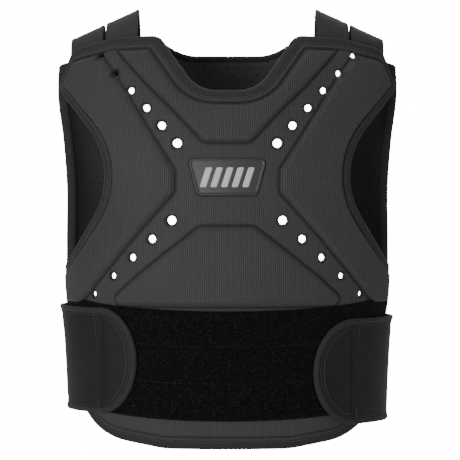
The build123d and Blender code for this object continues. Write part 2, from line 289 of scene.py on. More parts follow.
def field(region, box, step):
    """A grid of places that fills a region, with its border drawn onto the region's edge."""
    us = np.arange(box[0], box[2] + step, step)
    zs = np.arange(box[1], box[3] + step, step)
    u, z = np.meshgrid(us, zs)
    d = region(u, z)
    keep = d > 0.3 * step
    cell = keep[:-1, :-1] & keep[1:, :-1] & keep[:-1, 1:] & keep[1:, 1:]
    number = np.arange(u.size).reshape(u.shape)
    rows, columns = np.nonzero(cell)
    faces = np.stack([number[rows, columns], number[rows, columns + 1],
                      number[rows + 1, columns + 1], number[rows + 1, columns]], -1)
    used, flat = np.unique(faces, return_inverse=True)
    faces = flat.reshape(faces.shape)
    places = np.stack([u.ravel()[used], z.ravel()[used]], -1)
    edges = np.concatenate([faces[:, [k, (k + 1) % 4]] for k in range(4)])
    keys = np.sort(edges, 1)
    _, first, count = np.unique(keys, axis=0, return_index=True, return_counts=True)
    border = edges[first[count == 1]]
    moving = np.unique(border)
    for _ in range(4):
        p = places[moving]
        here = region(p[:, 0], p[:, 1])
        slope = np.stack([region(p[:, 0] + 0.2, p[:, 1]) - region(p[:, 0] - 0.2, p[:, 1]),
                          region(p[:, 0], p[:, 1] + 0.2) - region(p[:, 0], p[:, 1] - 0.2)], -1) / 0.4
        size = np.maximum((slope**2).sum(1, keepdims=True), 0.3)
        places[moving] = p - np.clip(here[:, None] * slope / size, -2 * step, 2 * step)
    return places, faces, border


def slabbed(name, region, box, step, place, outer, inner, shade_in_creases=None):
    """A closed pad over a region: its outer and inner faces at given distances, and its walls."""
    places, faces, border = field(region, box, step)
    u, z = places[:, 0], places[:, 1]
    top = place(u, z, outer(u, z) if callable(outer) else np.full(len(u), float(outer)))
    low = place(u, z, inner(u, z) if callable(inner) else np.full(len(u), float(inner)))
    count = len(places)
    walls = np.stack([border[:, 1], border[:, 0], border[:, 0] + count, border[:, 1] + count], -1)
    every = np.vstack([faces, faces[:, ::-1] + count, walls])
    # Painted crease shade on the outer face only; the inner face gets none.
    depth = None if shade_in_creases is None else np.r_[shade_in_creases(u, z), np.zeros(count)]
    return build(name, np.vstack([top, low]), every, np.vstack([places, places]), depth)


def inward_of(ring, closed=True):
    """The direction into a ring at each of its points; on an open path, to the left of its run."""
    run = np.roll(ring, -1, axis=0) - np.roll(ring, 1, axis=0)
    if not closed:
        run[0], run[-1] = ring[1] - ring[0], ring[-1] - ring[-2]
    run /= np.linalg.norm(run, axis=1, keepdims=True)
    inward = np.stack([-run[:, 1], run[:, 0]], -1)
    following = np.roll(ring, -1, axis=0)
    clockwise = (ring[:, 0] * following[:, 1] - following[:, 0] * ring[:, 1]).sum() < 0
    return -inward if closed and clockwise else inward


def swept(name, ring, profile, place, closed=True):
    """A band that follows a ring: profile points are (inwards, out)."""
    inward = inward_of(ring, closed)
    verts, uvs = [], []
    along = np.r_[0, np.cumsum(np.linalg.norm(np.diff(ring, axis=0), axis=1))]
    for s, d in profile:
        p = ring + inward * s
        verts.append(place(p[:, 0], p[:, 1], np.full(len(p), float(d))))
        uvs.append(np.stack([along, np.full(len(p), s + d)], -1))
    n, m = len(ring), len(profile)
    faces = []
    for j in range(m):
        k = (j + 1) % m
        for i in range(n if closed else n - 1):
            i2 = (i + 1) % n
            faces.append((j * n + i, j * n + i2, k * n + i2, k * n + i))
    if not closed:
        faces.append([j * n for j in range(m)])
        faces.append([j * n + n - 1 for j in reversed(range(m))])
    return build(name, np.vstack(verts), faces, np.vstack(uvs))


def stitches(name, paths, place, out, pitch=3.2, length=2.3, width=0.8, rise=0.45):
    """Rows of thread, one small rounded bead to each stitch, along paths of places."""
    shape = np.array([(-.5, 0, 0), (-.3, -.5, 0), (.3, -.5, 0), (.5, 0, 0), (.3, .5, 0), (-.3, .5, 0),
                      (-.25, -.2, 1), (.25, -.2, 1), (.25, .2, 1), (-.25, .2, 1)])
    ring = [(0, 1, 6), (1, 2, 7, 6), (2, 3, 7), (3, 4, 8), (4, 5, 9, 8), (5, 0, 9), (3, 8, 7),
            (0, 6, 9), (6, 7, 8, 9), (5, 4, 3, 2, 1, 0)]
    verts, faces = [], []
    for path in paths:
        gaps = np.linalg.norm(np.diff(path, axis=0), axis=1)
        at = np.r_[0, np.cumsum(gaps)]
        for middle in np.arange(pitch / 2, at[-1], pitch):
            here = np.array([np.interp(middle, at, path[:, k]) for k in (0, 1)])
            ahead = np.array([np.interp(min(middle + 0.5, at[-1]), at, path[:, k]) for k in (0, 1)])
            back = np.array([np.interp(max(middle - 0.5, 0), at, path[:, k]) for k in (0, 1)])
            run = (ahead - back) / max(np.linalg.norm(ahead - back), 1e-6)
            side = np.array((-run[1], run[0]))
            flat = here + shape[:, :1] * length * run + shape[:, 1:2] * width * side
            base = out(flat[:, 0], flat[:, 1]) if callable(out) else np.full(len(flat), float(out))
            start = len(verts)
            verts.extend(place(flat[:, 0], flat[:, 1], base - 0.15 + shape[:, 2] * rise))
            faces.extend([[start + k for k in f] for f in ring])
    return build(name, np.array(verts), faces, np.zeros((len(verts), 2)))


# ---- materials --------------------------------------------------------------------------------
class Look:
    """A node material under construction, with short calls for the nodes used here."""

    def __init__(self, name, roughness, sheen=0.0, specular=0.5):
        self.material = bpy.data.materials.new(name)
        self.material.use_nodes = True
        self.nodes = self.material.node_tree.nodes
        self.links = self.material.node_tree.links
        self.shader = self.nodes["Principled BSDF"]
        self.shader.inputs["Roughness"].default_value = roughness
        self.shader.inputs["Sheen Weight"].default_value = sheen
        self.shader.inputs["Sheen Roughness"].default_value = 0.45
        self.shader.inputs["Specular IOR Level"].default_value = specular
        self.coords = self.nodes.new("ShaderNodeTexCoord")

    def node(self, kind, settings=None, **inputs):
        made = self.nodes.new(kind)
        for key, value in (settings or {}).items():
            setattr(made, key, value)
        for key, value in inputs.items():
            socket = made.inputs[key.replace("_", " ")]
            if hasattr(value, "is_output"):
                self.links.new(value, socket)
            else:
                socket.default_value = value
        return made

    def maths(self, operation, a, b=0.0, c=0.0):
        made = self.nodes.new("ShaderNodeMath")
        made.operation = operation
        for index, value in enumerate((a, b, c)):
            if hasattr(value, "is_output"):
                self.links.new(value, made.inputs[index])
            else:
                made.inputs[index].default_value = value
        return made.outputs[0]

    def noise(self, scale, source="Object", detail=3.0):
        return self.node("ShaderNodeTexNoise", Vector=self.coords.outputs[source], Scale=scale,
                         Detail=detail).outputs["Fac"]

    def ramp(self, value, *stops):
        made = self.node("ShaderNodeValToRGB", Fac=value)
        ramp = made.color_ramp
        while len(ramp.elements) < len(stops):
            ramp.elements.new(0.5)
        for element, (place, colour) in zip(ramp.elements, stops):
            element.position = place
            element.color = (*colour, 1) if len(colour) == 3 else (colour[0], colour[0], colour[0], 1)
        return made.outputs["Color"]

    def finish(self, colour, height=None, strength=0.5, distance=0.0004):
        self.links.new(colour, self.shader.inputs["Base Color"])
        if height is not None:
            bump = self.node("ShaderNodeBump", Height=height, Strength=strength, Distance=distance)
            self.links.new(bump.outputs["Normal"], self.shader.inputs["Normal"])
        return self.material


def grey(value):
    """A neutral grey, very slightly cool."""
    return (value, value, value * 1.02)


def waves(look, socket, period):
    """A wave along one coordinate, from 0 to 1, with a period in metres."""
    turn = look.maths("MULTIPLY", socket, 2 * pi / period)
    return look.maths("MULTIPLY_ADD", look.maths("SINE", turn), 0.5, 0.5)


def ribbed_cover():
    """Charcoal knit with fine upright ribs and a slight heather, and painted shade that darkens its creases."""
    look = Look("ribbed_cover", 0.75, sheen=0.06, specular=0.25)
    split = look.node("ShaderNodeSeparateXYZ", Vector=look.coords.outputs["UV"])
    drift = look.noise(60, detail=2)
    across = look.maths("ADD", split.outputs["X"], look.maths("MULTIPLY", drift, 0.0012))
    rib = waves(look, across, 0.0021)
    knit = waves(look, split.outputs["Y"], 0.0014)
    heather = look.noise(900, detail=2)
    patch = look.noise(9, detail=4)
    mix = look.maths("MULTIPLY_ADD", rib, 0.36, look.maths("MULTIPLY", heather, 0.44))
    mix = look.maths("ADD", mix, look.maths("MULTIPLY", patch, 0.20))
    # Painted shade: the colour is darkened towards black in the creases, read from the mesh's crease attribute.
    crease = look.node("ShaderNodeAttribute", {"attribute_name": "painted_crease_shade"}).outputs["Fac"]
    mix = look.maths("MULTIPLY", mix, look.maths("SUBTRACT", 1.0, crease))
    colour = look.ramp(mix, (0.0, grey(0.0015)), (0.3, grey(0.0125)), (0.8, grey(0.042)))
    height = look.maths("ADD", look.maths("MULTIPLY", rib, 0.7), look.maths("MULTIPLY", knit, 0.2))
    height = look.maths("ADD", height, look.maths("MULTIPLY", heather, 0.3))
    return look.finish(colour, height, 0.6, 0.0004)


def knit_lining():
    """Smooth dark knit with small staggered perforations."""
    look = Look("lining", 0.72, sheen=0.05, specular=0.25)
    split = look.node("ShaderNodeSeparateXYZ", Vector=look.coords.outputs["UV"])
    row = look.maths("DIVIDE", split.outputs["Y"], 0.0078)
    line = look.maths("FLOOR", row)
    shift = look.maths("MULTIPLY", look.maths("MODULO", look.maths("ABSOLUTE", line), 2.0), 0.5)
    column = look.maths("ADD", look.maths("DIVIDE", split.outputs["X"], 0.0125), shift)
    du = look.maths("MULTIPLY", look.maths("SUBTRACT", look.maths("FRACT", column), 0.5), 0.0125)
    dv = look.maths("MULTIPLY", look.maths("SUBTRACT", look.maths("FRACT", row), 0.5), 0.0078)
    square = look.maths("ADD", look.maths("MULTIPLY", du, du), look.maths("MULTIPLY", dv, dv))
    far = look.maths("SQRT", square)
    dot = look.maths("LESS_THAN", far, 0.0010)
    fine = look.noise(1100, detail=2)
    base = look.maths("MULTIPLY_ADD", fine, 0.5, look.maths("MULTIPLY", look.noise(12), 0.5))
    shade = look.maths("MULTIPLY", base, look.maths("SUBTRACT", 1.0, look.maths("MULTIPLY", dot, 0.9)))
    colour = look.ramp(shade, (0.05, grey(0.003)), (0.3, grey(0.022)), (0.8, grey(0.046)))
    height = look.maths("SUBTRACT", look.maths("MULTIPLY", fine, 0.3), dot)
    return look.finish(colour, height, 0.7, 0.0006)


def tape(name, low, high, roughness=0.8):
    """Woven tape: crossed threads and a slightly uneven dye."""
    look = Look(name, roughness, sheen=0.05, specular=0.25)
    split = look.node("ShaderNodeSeparateXYZ", Vector=look.coords.outputs["UV"])
    warp = waves(look, split.outputs["X"], 0.0013)
    weft = waves(look, split.outputs["Y"], 0.0010)
    weave = look.maths("MULTIPLY", warp, weft)
    grain = look.noise(700, detail=2)
    mix = look.maths("ADD", look.maths("MULTIPLY", weave, 0.5), look.maths("MULTIPLY", grain, 0.5))
    colour = look.ramp(mix, (0.15, grey(low)), (0.8, grey(high)))
    return look.finish(colour, mix, 0.5, 0.0004)


def loop_pile():
    """Brushed loop pile: nearly black, tangled, with stray lighter loops."""
    look = Look("loop_pile", 0.95, sheen=0.04, specular=0.05)
    tangle = look.noise(520, detail=5)
    cells = look.node("ShaderNodeTexVoronoi", Vector=look.coords.outputs["Object"], Scale=650.0)
    tufts = cells.outputs["Distance"]
    mix = look.maths("MULTIPLY_ADD", tangle, 0.6, look.maths("MULTIPLY", tufts, 0.5))
    colour = look.ramp(mix, (0.25, grey(0.0006)), (0.6, grey(0.0028)), (0.85, grey(0.014)))
    return look.finish(colour, mix, 1.0, 0.0012)


def stretch_knit():
    """Smooth stretch fabric over thin foam: dark, matt, very fine grain."""
    look = Look("wing_stretch", 0.7, sheen=0.04, specular=0.22)
    split = look.node("ShaderNodeSeparateXYZ", Vector=look.coords.outputs["UV"])
    across, up = [waves(look, split.outputs[axis], 0.0011) for axis in "XY"]
    knit = look.maths("MULTIPLY", across, up)
    soft = look.noise(14, detail=3)
    fine = look.noise(900, detail=2)
    mix = look.maths("ADD", look.maths("MULTIPLY", soft, 0.5), look.maths("MULTIPLY", fine, 0.5))
    colour = look.ramp(mix, (0.3, grey(0.0022)), (0.7, grey(0.0060)))
    height = look.maths("ADD", look.maths("MULTIPLY", knit, 0.4), look.maths("MULTIPLY", fine, 0.4))
    return look.finish(colour, height, 0.4, 0.0003)


def thread(name, low, high):
    """Sewing thread with a slightly uneven dye."""
    look = Look(name, 0.6, sheen=0.04, specular=0.3)
    colour = look.ramp(look.noise(1500), (0.3, grey(low)), (0.7, grey(high)))
    return look.finish(colour, look.noise(2500), 0.4, 0.0002)


def rubber(name, low, high, roughness):
    """Moulded soft rubber with a fine pebble."""
    look = Look(name, roughness, specular=0.45)
    pebble = look.noise(1400, detail=3)
    soft = look.noise(25, detail=3)
    mix = look.maths("ADD", look.maths("MULTIPLY", pebble, 0.4), look.maths("MULTIPLY", soft, 0.6))
    return look.finish(look.ramp(mix, (0.3, grey(low)), (0.7, grey(high))), pebble, 0.25, 0.0003)


LOOKS = {
    "ribbed_cover": ribbed_cover(),
    "lining": knit_lining(),
    "binding_tape": tape("binding_tape", 0.007, 0.024),
    "strap_webbing": tape("strap_webbing", 0.012, 0.030),
    "loop_pile": loop_pile(),
    "hook_tape": tape("hook_tape", 0.003, 0.008, 0.6),
    "wing_stretch": stretch_knit(),
    "emblem_rubber": rubber("emblem_rubber", 0.008, 0.015, 0.5),
    "emblem_print": rubber("emblem_print", 0.30, 0.40, 0.6),
}
THREAD = thread("dark_thread", 0.030, 0.060)


def dress(piece, body, slot, nodes=(), look=None):
    """Gives a piece its material, from its slot unless a look is given, puts it on its body when the body is one
    name, and hides the CAD nodes that it stands for.
    """
    piece.data.materials.append(look or LOOKS[slot])
    if isinstance(body, str):
        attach(piece, body)
    else:
        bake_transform(piece)
    if nodes:
        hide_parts(*nodes)
    return piece


# ---- panels -----------------------------------------------------------------------------------
FRONT_RING = panel_ring(FRONT_CORNERS, FRONT_SIDE_Y, 1)
BACK_RING = panel_ring(BACK_CORNERS, BACK_SIDE_Y, 2)
in_front = inside(FRONT_RING[::2])
in_back = inside(BACK_RING[::2])
FRONT_BOX = (-270, -462, 270, 5)


def arm_vents():
    """Places and radii of the vents along the four arms of the valley."""
    made = []
    for first, last, count in (UPPER_VENTS, LOWER_VENTS):
        for share in np.linspace(0, 1, count):
            x = first[0] + share * (last[0] - first[0])
            z = first[1] + share * (last[1] - first[1])
            radius = VENT_WIDE + share * (VENT_NARROW - VENT_WIDE)
            for side in SIDES.values():
                made.append((float(u_of(side * x, z, 0)), z, radius))
    return made


VENTS = arm_vents()


def vent_gap(u, z):
    """Distance out from the nearest vent's rim."""
    gaps = [np.hypot(u - hu, z - hz) - radius for hu, hz, radius in VENTS]
    return np.min(gaps, axis=0)


def pod_rings():
    """The four raised fields, with softly rounded corners."""
    upper = [(p, 8) for p in UPPER_POD]
    lower = [(p, 8) for p in LOWER_POD]
    side = [(p, 8 if abs(p[0]) < 150 else 0) for p in SIDE_POD]
    flip = [((-x, z), r) for (x, z), r in reversed(side)]
    top = upper + [((-x, z), r) for (x, z), r in reversed(upper)]
    base = lower + [((-x, z), r) for (x, z), r in reversed(lower)]
    return [inside(flat_ring(ring, step=3.5)) for ring in (top, base, side, flip)]


POD_FIELDS = pod_rings()


def in_pods(u, z):
    """How far inside a pod a place lies, after the panel's border is taken off."""
    deep = np.max([pod(u, z) for pod in POD_FIELDS], axis=0)
    return np.minimum(np.minimum(deep, in_front(u, z) - POD_EDGE), z - POD_FOOT)


def front_height(u, z):
    """The front cover's distance out: rim, valley, crease, pods and dimpled vents."""
    edge = in_front(u, z)
    pod = in_pods(u, z)
    height = VALLEY - 1.6 + 1.6 * smooth((edge - EDGE_INSET) / 4)
    height += POD_RISE * smooth(pod / POD_SHOULDER + 0.10) * smooth((z - POD_FOOT) / 6 + 0.2)
    height -= 1.7 * np.exp(-((pod + 0.3) / 1.2) ** 2)
    height -= 1.0 * np.exp(-((edge - 13.4) / 1.0) ** 2)
    height -= 1.2 * np.exp(-np.clip(vent_gap(u, z), 0, None) / 1.2)
    return height


def front_crease_shade(u, z):
    """Painted shade for the cover's colour: strongest where the cover is pressed in, at the foot of each pod, along
    the rim and round the vents.
    """
    edge = in_front(u, z)
    pod = in_pods(u, z)
    at_pod = np.exp(-((pod + 0.3) / 1.15) ** 2) * 0.85
    at_rim = np.exp(-((edge - 13.4) / 1.0) ** 2) * 0.75
    at_vent = np.exp(-(np.clip(vent_gap(u, z), 0, None) / 1.2) ** 2)
    return np.max([at_pod, at_rim, at_vent], axis=0)


def front_panel():
    """The front pad with its lining."""
    region = lambda u, z: np.minimum(in_front(u, z) - EDGE_INSET + 2, vent_gap(u, z))
    step = 1.6
    pad = slabbed("front_pad", region, FRONT_BOX, step, on_front, front_height, LINING, front_crease_shade)
    dress(pad, "front", "ribbed_cover", ("front_outer_cover", "front_foam_core"))
    lining = slabbed("front_lining", region, FRONT_BOX, 3.0, on_front, LINING - 0.05, 0.0)
    dress(lining, "front", "lining", ("front_inner_lining",))


def rim_profile(width):
    """The folded edge tape, from its inner face round the rim to its outer face."""
    return ((width, 0.4), (width, -0.5), (3, -0.9), (0.8, 0.6), (-0.2, 3.2), (0.0, 6.4), (1.2, 8.8),
            (3.4, 10.2), (6.0, 10.5), (width - 1.6, 10.2), (width, 9.7), (width, 8.6), (3, 7.6), (2.4, 4), (3, 1.2))


def edge_binding(name, ring, width, place, body, slot, nodes):
    """The tape folded over a panel's edge, and its row of stitches."""
    band = swept(name, ring, rim_profile(width), place)
    dress(band, body, slot, nodes)
    path = ring + inward_of(ring) * (width - SEWN_FROM_EDGE)
    row = stitches(name + "_stitches", [np.vstack([path, path[:1]])], place, BINDING_TOP, 3.3, 2.2, 0.85, 0.5)
    dress(row, body, slot, look=THREAD)


def loop_field():
    """Three rows of loop tape across the waist, each rounded down at its edges."""
    inner = lambda u, z: in_front(u, z) - EDGE_INSET - 1.0
    for index, name in enumerate(STRIPS):
        top = LOOP_TOP - index * LOOP_STRIP
        region = lambda u, z, top=top: np.minimum(inner(u, z), np.minimum(
            top + LOOP_SAG * u**2 - 0.05 - z, z - top + LOOP_STRIP - LOOP_SAG * u**2 - 0.05))

        def outer(u, z, region=region):
            gap = region(u, z)
            fuzz = 0.35 * np.sin(u * 2.1 + 3 * np.sin(z * 1.3)) * np.sin(z * 2.7 + 2 * np.sin(u * 0.9))
            return LOOP - 1.3 + 1.2 * smooth(gap / 2.2) + fuzz * smooth(gap / 2)

        step = 1.6
        strip = slabbed(f"loop_{name}", region, FRONT_BOX, step, on_front, outer, VALLEY - 0.6)
        dress(strip, "front", "loop_pile", (f"loop_strip_{name}",))


def emblem():
    """A plain moulded patch with a raised border and slanted stripes."""
    half, high = EMBLEM_WIDTH / 2, EMBLEM_HEIGHT / 2
    corners = [((-half, EMBLEM_Z + high), 6), ((half, EMBLEM_Z + high), 6),
               ((half - EMBLEM_TAPER, EMBLEM_Z - high), 8), ((EMBLEM_TAPER - half, EMBLEM_Z - high), 8)]
    shape = inside(flat_ring(corners))

    def outer(u, z):
        gap = shape(u, z)
        border = 0.9 * smooth((gap - 0.6) / 0.8) * smooth((3.6 - gap) / 0.8)
        return VALLEY + 0.1 + 1.0 * smooth(gap / 0.5) + border

    box = (-half - 4, EMBLEM_Z - high - 3, half + 4, EMBLEM_Z + high + 3)
    patch = slabbed("emblem_patch", shape, box, 0.8, on_front, outer, VALLEY - 1.0)
    dress(patch, "front", "emblem_rubber", ("emblem_patch",))
    lean = np.tan(radians(18))
    bars = []
    for index in range(5):
        centre, half_bar = (index - 2) * STRIPE_PITCH, STRIPE_WIDTH / 2
        rise = STRIPE_HEIGHT / 2
        ring = [((centre - half_bar - rise * lean, EMBLEM_Z - rise), 1),
                ((centre + half_bar - rise * lean, EMBLEM_Z - rise), 1),
                ((centre + half_bar + rise * lean, EMBLEM_Z + rise), 1),
                ((centre - half_bar + rise * lean, EMBLEM_Z + rise), 1)]
        bars.append(inside(flat_ring(ring)))
    stripes = lambda u, z: np.max([bar(u, z) for bar in bars], axis=0)
    raised = lambda u, z: VALLEY + 1.0 + 0.7 * smooth(stripes(u, z) / 0.7)
    mark = slabbed("emblem_stripes", stripes, box, 0.6, on_front, raised, VALLEY + 0.9)
    dress(mark, "front", "emblem_print", ("emblem_print",))


def back_height(u, z):
    """The back cover's distance out: rim, sewn channels and a shallow spine groove."""
    edge = in_back(u, z)
    height = VALLEY - 1.6 + 1.6 * smooth((edge - 7) / 5)
    height -= 0.9 * np.exp(-((edge - 11) / 1.1) ** 2)
    for seam in (-150.0, -290.0):
        height -= 1.6 * np.exp(-((z - seam) / 2.2) ** 2)
    height -= 1.8 * np.exp(-(u / 3.0) ** 2) * smooth((edge - 6) / 10)
    return height


def back_panel():
    """The back pad with its lining."""
    region = lambda u, z: in_back(u, z) - 5.0
    box = (-270, -458, 270, 5)
    pad = slabbed("back_pad", region, box, 2.0, on_back, back_height, LINING)
    dress(pad, "back", "ribbed_cover", ("back_outer_cover", "back_foam_core"))
    lining = slabbed("back_lining", region, box, 3.0, on_back, LINING - 0.05, 0.0)
    dress(lining, "back", "lining", ("back_inner_lining",))


# ---- straps -----------------------------------------------------------------------------------
def strap_path(x):
    """A strap's middle line at one width: up inside the front panel, over, and down the back."""
    crown = CROWN_Z - np.tan(radians(SLOPE)) * (x - BANDS["inner"][0]) - STRAP / 2
    front_z = np.linspace(*STRAP_FRONT, 12)
    rear_z = np.linspace(STRAP_REAR[1], STRAP_REAR[0], 14)
    reach_f = depth_at(x, STRAP_FRONT[1], -STRAP / 2, 1)
    reach_r = depth_at(x, STRAP_REAR[1], STRAP_REAR_OUT + STRAP / 2, 2)
    turn = np.linspace(0, pi / 2, 22)[1:-1]
    y = np.r_[-depth_at(x, front_z, -STRAP / 2, 1), -reach_f * np.cos(turn), 0,
              reach_r * np.cos(turn[::-1]), depth_at(x, rear_z, STRAP_REAR_OUT + STRAP / 2, 2)]
    z = np.r_[front_z, STRAP_FRONT[1] + (crown - STRAP_FRONT[1]) * np.sin(turn), crown,
              STRAP_REAR[1] + (crown - STRAP_REAR[1]) * np.sin(turn[::-1]), rear_z]
    return np.stack([y, z], -1)


def strap_mesh(name, side, edges, half_at):
    """A closed band over the shoulder; half_at gives its half thickness across the width."""
    across = np.linspace(*edges, 25)
    mids, outs = [], []
    for x in across:
        path = strap_path(x)
        run = np.gradient(path, axis=0)
        run /= np.linalg.norm(run, axis=1, keepdims=True)
        normal = np.stack([-run[:, 1], run[:, 0]], -1)
        mids.append(path)
        outs.append(normal)
    mids, outs = np.array(mids), np.array(outs)
    share = (across - edges[0]) / (edges[1] - edges[0])
    half = half_at(share)[:, None, None]
    layers = []
    for sign in (1, -1):
        yz = mids + sign * outs * half
        x = np.repeat(side * across[:, None], yz.shape[1], 1)
        layers.append(np.concatenate([x[..., None], yz], -1))
    n, m = layers[0].shape[:2]
    verts = np.vstack([layer.reshape(-1, 3) for layer in layers])
    number = np.arange(2 * n * m).reshape(2, n, m)
    faces = []
    for i in range(n - 1):
        for j in range(m - 1):
            faces.append((number[0, i, j], number[0, i + 1, j], number[0, i + 1, j + 1], number[0, i, j + 1]))
            faces.append((number[1, i, j + 1], number[1, i + 1, j + 1], number[1, i + 1, j], number[1, i, j]))
    for j in range(m - 1):
        faces.append((number[0, 0, j], number[0, 0, j + 1], number[1, 0, j + 1], number[1, 0, j]))
        faces.append((number[1, -1, j], number[1, -1, j + 1], number[0, -1, j + 1], number[0, -1, j]))
    for i in range(n - 1):
        faces.append((number[1, i, 0], number[1, i + 1, 0], number[0, i + 1, 0], number[0, i, 0]))
        faces.append((number[0, i, -1], number[0, i + 1, -1], number[1, i + 1, -1], number[1, i, -1]))
    long = np.arange(m) * 4.0
    uv = np.stack([np.repeat(across[:, None], m, 1), np.repeat(long[None], n, 0)], -1).reshape(-1, 2)
    return build(name, verts, faces, np.vstack([uv, uv]))


def strap_half(share):
    """Half thickness across a strap: thicker hems with a stitched groove beside each."""
    from_edge = np.minimum(share, 1 - share) * 36
    hem = 0.3 * smooth((5 - from_edge) / 1.0) * smooth(from_edge / 0.8 + 0.3)
    return 1.15 + hem - 0.35 * np.exp(-((from_edge - 5.6) / 0.7) ** 2)


def shoulder_straps():
    """Two straps over each shoulder, bending over the crown."""
    for side_name, side in SIDES.items():
        for band, edges in BANDS.items():
            root = f"strap_{side_name}_{band}"
            piece = strap_mesh(root, side, edges, strap_half)
            halves = (root + "_front", root + "_rear")
            dress(piece, ("back", "front", *SHOULDER_BEND), "strap_webbing", halves)


# ---- wings ------------------------------------------------------------------------------------
def wing_sheet(name, side, z_low, z_high, outer, inner, rows):
    """A band round the side of the form between two heights, closed on every face."""
    zs = np.linspace(z_low, z_high, rows)
    size = form(zs)
    rear = pi - np.arccos(ROOT_Y / (size[:, 2] + WING_OUT))
    seam = np.arcsin((SEAM_X + 0.2) / (size[:, 0] + WING_OUT))
    share = np.linspace(0, 1, 110)
    angle = seam[:, None] + (rear - seam)[:, None] * share[None]
    z = np.repeat(zs[:, None], len(share), 1)
    faces, layers = [], []
    for d in (outer, inner):
        out = d(angle, z) if callable(d) else np.full(z.shape, float(d))
        p = around(angle, z, out)
        p[..., 0] *= side
        layers.append(p.reshape(-1, 3))
    n, m = z.shape
    number = np.arange(2 * n * m).reshape(2, n, m)
    for k in range(2):
        for i in range(n - 1):
            for j in range(m - 1):
                low, high = number[k, i], number[k, i + 1]
                faces.append((low[j], high[j], high[j + 1], low[j + 1]))
    for j in range(m - 1):
        for i in (0, n - 1):
            faces.append((number[0, i, j], number[0, i, j + 1], number[1, i, j + 1], number[1, i, j]))
    for i in range(n - 1):
        for j in (0, m - 1):
            faces.append((number[0, i, j], number[0, i + 1, j], number[1, i + 1, j], number[1, i, j]))
    uv = np.stack([angle * GIRTH, z], -1).reshape(-1, 2)
    return build(name, np.vstack(layers), faces, np.vstack([uv, uv]))


def wing_path(side, z):
    """A line of (u, z) places round the side at one height, for stitches."""
    size = form(np.array(z))
    rear = pi - np.arccos((ROOT_Y - 2) / (size[2] + WING_OUT))
    seam = np.arcsin(SEAM_X / (size[0] + WING_OUT))
    u = np.linspace(seam, rear, 90) * GIRTH
    return np.stack([side * u, np.full(len(u), z)], -1)


def tab_ring(side, name, margin=0.0):
    """The half-round tab in (u, z), from the top of its seam round to the bottom."""
    turn = np.linspace(pi / 2, -pi / 2, 60)
    x = side * (SEAM_X - (TAB_REACH[name] - margin) * np.cos(turn))
    z = WING_CENTRE[name] + (WING_HEIGHT / 2 - margin) * np.sin(turn)
    return np.stack([u_of(x, z, WING_OUT), z], -1)


def wings():
    """The two side wings, with rolled hems, rows of stitches and their tabs."""
    for name, side in SIDES.items():
        low, high = WING_CENTRE[name] - WING_HEIGHT / 2, WING_CENTRE[name] + WING_HEIGHT / 2
        bend = ("back", f"wing_{name}", *[(side * x, y, z) for x, y, z in WING_BEND])

        def face(angle, z, low=low, high=high):
            gap = np.minimum(z - low, high - z)
            across = smooth((gap - 6) / 14)
            wave = 0.35 * np.sin(angle * 9 + z * 0.05) * across
            return WING_OUT - 1.3 + 0.9 * across + wave

        tuck = WING_EDGE - 2.5
        band = wing_sheet(f"wing_{name}", side, low + tuck, high - tuck, face, WING_IN + 0.2, 44)
        dress(band, bend, "wing_stretch", (f"wing_{name}_band", f"wing_{name}_root"))
        for end, z0, z1 in (("top", high - WING_EDGE, high), ("foot", low, low + WING_EDGE)):
            middle = (z0 + z1) / 2
            roll = lambda angle, z, middle=middle: WING_OUT - 1.6 + 1.6 * np.sqrt(
                np.clip(1 - ((z - middle) / (WING_EDGE / 2 + 0.3)) ** 2, 0, 1))
            hem = wing_sheet(f"wing_{name}_{end}_hem", side, z0, z1, roll, WING_IN, 9)
            dress(hem, bend, "binding_tape", (f"wing_{name}_binding",))
        rows = [wing_path(side, high - WING_EDGE - 1.6), wing_path(side, low + WING_EDGE + 1.6)]
        seam_u = float(u_of(side * (SEAM_X + 2.2), WING_CENTRE[name], WING_OUT))
        upright = np.stack([np.full(60, seam_u), np.linspace(low + 8, high - 8, 60)], -1)
        sewn = stitches(f"wing_{name}_stitches", rows + [upright], on_front, WING_OUT - 0.7, 3.4)
        dress(sewn, bend, "wing_stretch", look=THREAD)
        tab(name, side)
        seam_strip(name, side)


def tab(name, side):
    """The half-round end of a wing: panel, rolled edge, stitches and the hook patch behind."""
    body = f"tab_{name}"
    ring = tab_ring(side, name)
    shape = inside(spaced(ring, 1.2))
    box = (ring[:, 0].min() - 2, ring[:, 1].min() - 2, ring[:, 0].max() + 2, ring[:, 1].max() + 2)
    crown = lambda u, z: WING_OUT - 1.5 + 1.2 * smooth((shape(u, z) - 5) / 9)
    panel = slabbed(f"tab_{name}_pad", shape, box, 1.4, on_front, crown, WING_IN + 0.8)
    dress(panel, body, "wing_stretch", (f"tab_{name}_panel",))
    profile = [(-0.2, 14.8), (-0.5, 15.8), (0.2, 17.0), (1.6, 17.9), (3.4, 18.1), (5.0, 17.7), (5.9, 16.6),
               (5.6, 14.6), (2.0, 14.3)]
    profile = [(side * s, d) for s, d in profile]
    rolled = swept(f"tab_{name}_hem", ring, profile, on_front, closed=False)
    dress(rolled, body, "binding_tape", (f"tab_{name}_binding",))
    rows = [tab_ring(side, name, margin) for margin in (7.2, 10.6)]
    proud = lambda u, z: crown(u, z) + 0.05
    sewn = stitches(f"tab_{name}_stitches", rows, on_front, proud, length=2.2)
    dress(sewn, body, "wing_stretch", look=THREAD)
    under = lambda u, z: shape(u, z) - 8
    hook = slabbed(f"tab_{name}_hook", under, box, 2.0, on_front, WING_IN + 0.9, WING_IN - 0.4)
    dress(hook, body, "hook_tape", (f"tab_{name}_hook_patch",))


